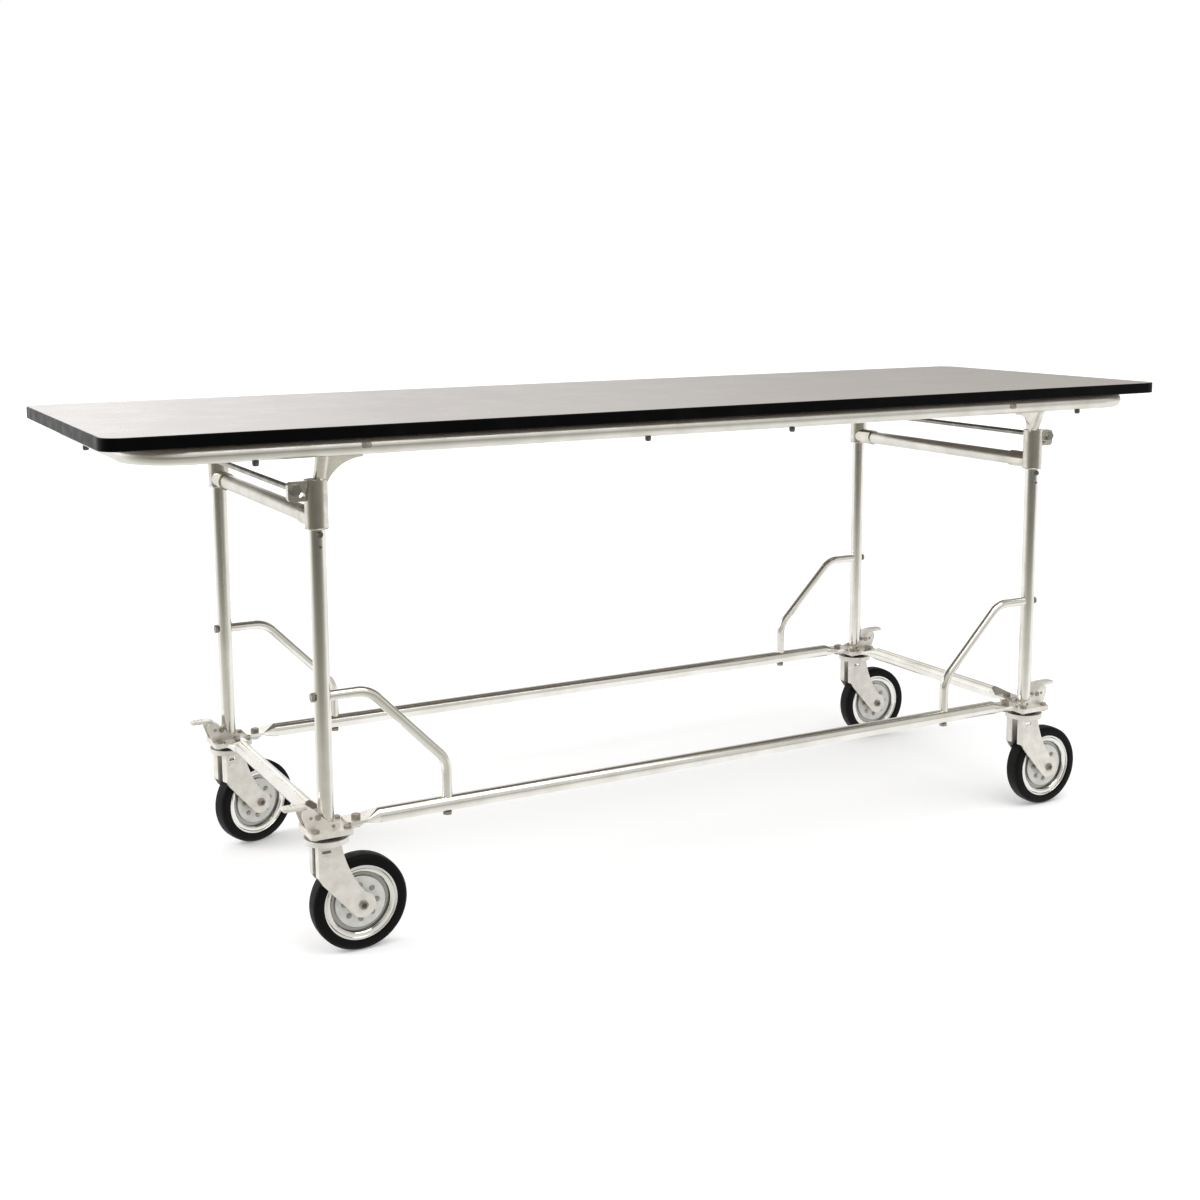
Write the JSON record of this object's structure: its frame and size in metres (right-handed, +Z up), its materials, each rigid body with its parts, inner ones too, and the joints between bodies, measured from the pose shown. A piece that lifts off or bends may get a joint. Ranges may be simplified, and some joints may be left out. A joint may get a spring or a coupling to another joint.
{
  "type": "treatment table",
  "caption": "Wheeled treatment table: long flat laminated top on a chromed tubular frame, braced legs, lower rails and swivel casters with foot pedal locks.",
  "frame": {"origin": "on the floor under the middle of the table top", "axes": "+X along the table towards its right end as the picture shows it, +Y away from the near long side, +Z up"},
  "size_m": [1.99, 0.6244, 0.813],
  "materials": {
    "board_core": "raw particle board",
    "laminate": "satin high-pressure laminate",
    "edge_moulding": "satin black extruded moulding",
    "chromed_tube": "bright nickel and chrome plate",
    "plated_casting": "plated casting, satin",
    "zinc_pressing": "zinc plated pressing",
    "fastener": "darkened steel",
    "wheel_disc": "zinc plated disc with a polished rim",
    "tyre_rubber": "solid black rubber"
  },
  "bodies": {
    "frame": {"table_board": "board_core", "top_laminate": "laminate", "edge_moulding": "edge_moulding", "hoop_front": "chromed_tube", "hoop_back": "chromed_tube", "hoop_left": "chromed_tube", "hoop_right": "chromed_tube", "leg_front_left": "chromed_tube", "leg_back_left": "chromed_tube", "leg_front_right": "chromed_tube", "leg_back_right": "chromed_tube", "cross_tube_left": "chromed_tube", "cross_tube_right": "chromed_tube", "tie_rod_left": "chromed_tube", "tie_rod_right": "chromed_tube", "brace_front_left": "chromed_tube", "brace_back_left": "chromed_tube", "brace_front_right": "chromed_tube", "brace_back_right": "chromed_tube", "side_rail_front": "chromed_tube", "side_rail_back": "chromed_tube", "end_rail_left": "chromed_tube", "end_rail_right": "chromed_tube", "leg_socket_front_left": "plated_casting", "leg_socket_back_left": "plated_casting", "leg_socket_front_right": "plated_casting", "leg_socket_back_right": "plated_casting", "corner_plates": "zinc_pressing", "pedal_brackets": "zinc_pressing", "caster_plates": "zinc_pressing", "board_screws": "fastener", "leg_screws": "fastener", "frame_bolts": "fastener", "pedal_pins": "fastener", "caster_bolts": "fastener", "kingpins": "fastener"},
    "caster_front_left": {"fork_front_left": "zinc_pressing", "axle_front_left": "fastener"},
    "roller_front_left": {"wheel_front_left": "wheel_disc", "tyre_front_left": "tyre_rubber"},
    "foot_pedal_front_left": {"pedal_front_left": "zinc_pressing"},
    "swivel_lock_front_left": {"lock_pin_front_left": "fastener"},
    "caster_back_left": {"fork_back_left": "zinc_pressing", "axle_back_left": "fastener"},
    "roller_back_left": {"wheel_back_left": "wheel_disc", "tyre_back_left": "tyre_rubber"},
    "foot_pedal_back_left": {"pedal_back_left": "zinc_pressing"},
    "swivel_lock_back_left": {"lock_pin_back_left": "fastener"},
    "caster_front_right": {"fork_front_right": "zinc_pressing", "axle_front_right": "fastener"},
    "roller_front_right": {"wheel_front_right": "wheel_disc", "tyre_front_right": "tyre_rubber"},
    "foot_pedal_front_right": {"pedal_front_right": "zinc_pressing"},
    "swivel_lock_front_right": {"lock_pin_front_right": "fastener"},
    "caster_back_right": {"fork_back_right": "zinc_pressing", "axle_back_right": "fastener"},
    "roller_back_right": {"wheel_back_right": "wheel_disc", "tyre_back_right": "tyre_rubber"},
    "foot_pedal_back_right": {"pedal_back_right": "zinc_pressing"},
    "swivel_lock_back_right": {"lock_pin_back_right": "fastener"}
  },
  "joints": [
    {"name": "swivel_front_left", "type": "hinge", "parent": "frame", "child": "caster_front_left", "pos_m": [-0.682, -0.265, 0.188], "axis": [0, 0, 1], "continuous": true},
    {"name": "spin_front_left", "type": "hinge", "parent": "caster_front_left", "child": "roller_front_left", "pos_m": [-0.634, -0.265, 0.0762], "axis": [0, 1, 0], "continuous": true},
    {"name": "press_front_left", "type": "hinge", "parent": "frame", "child": "foot_pedal_front_left", "pos_m": [-0.6995, -0.265, 0.224], "axis": [0, -1, 0], "range_deg": [0, 18]},
    {"name": "lock_front_left", "type": "slide", "parent": "frame", "child": "swivel_lock_front_left", "axis": [0, 0, -1], "range_m": [0, 0.0032]},
    {"name": "swivel_back_left", "type": "hinge", "parent": "frame", "child": "caster_back_left", "pos_m": [-0.682, 0.265, 0.188], "axis": [0, 0, 1], "continuous": true},
    {"name": "spin_back_left", "type": "hinge", "parent": "caster_back_left", "child": "roller_back_left", "pos_m": [-0.6361, 0.27903, 0.0762], "axis": [-0.2924, 0.9563, 0], "continuous": true},
    {"name": "press_back_left", "type": "hinge", "parent": "frame", "child": "foot_pedal_back_left", "pos_m": [-0.6995, 0.265, 0.224], "axis": [0, -1, 0], "range_deg": [0, 18]},
    {"name": "lock_back_left", "type": "slide", "parent": "frame", "child": "swivel_lock_back_left", "axis": [0, 0, -1], "range_m": [0, 0.0032]},
    {"name": "swivel_front_right", "type": "hinge", "parent": "frame", "child": "caster_front_right", "pos_m": [0.718, -0.265, 0.188], "axis": [0, 0, 1], "continuous": true},
    {"name": "spin_front_right", "type": "hinge", "parent": "caster_front_right", "child": "roller_front_right", "pos_m": [0.766, -0.265, 0.0762], "axis": [0, 1, 0], "continuous": true},
    {"name": "press_front_right", "type": "hinge", "parent": "frame", "child": "foot_pedal_front_right", "pos_m": [0.7355, -0.265, 0.224], "axis": [0, 1, 0], "range_deg": [0, 18]},
    {"name": "lock_front_right", "type": "slide", "parent": "frame", "child": "swivel_lock_front_right", "axis": [0, 0, -1], "range_m": [0, 0.0032]},
    {"name": "swivel_back_right", "type": "hinge", "parent": "frame", "child": "caster_back_right", "pos_m": [0.718, 0.265, 0.188], "axis": [0, 0, 1], "continuous": true},
    {"name": "spin_back_right", "type": "hinge", "parent": "caster_back_right", "child": "roller_back_right", "pos_m": [0.76595, 0.26291, 0.0762], "axis": [0.0436, 0.999, 0], "continuous": true},
    {"name": "press_back_right", "type": "hinge", "parent": "frame", "child": "foot_pedal_back_right", "pos_m": [0.7355, 0.265, 0.224], "axis": [0, 1, 0], "range_deg": [0, 18]},
    {"name": "lock_back_right", "type": "slide", "parent": "frame", "child": "swivel_lock_back_right", "axis": [0, 0, -1], "range_m": [0, 0.0032]}
  ],
  "couplings": [
    {"joint": "lock_front_left", "follows": "press_front_left", "m_per_rad": 0.01},
    {"joint": "lock_back_left", "follows": "press_back_left", "m_per_rad": 0.01},
    {"joint": "lock_front_right", "follows": "press_front_right", "m_per_rad": 0.01},
    {"joint": "lock_back_right", "follows": "press_back_right", "m_per_rad": 0.01}
  ]
}
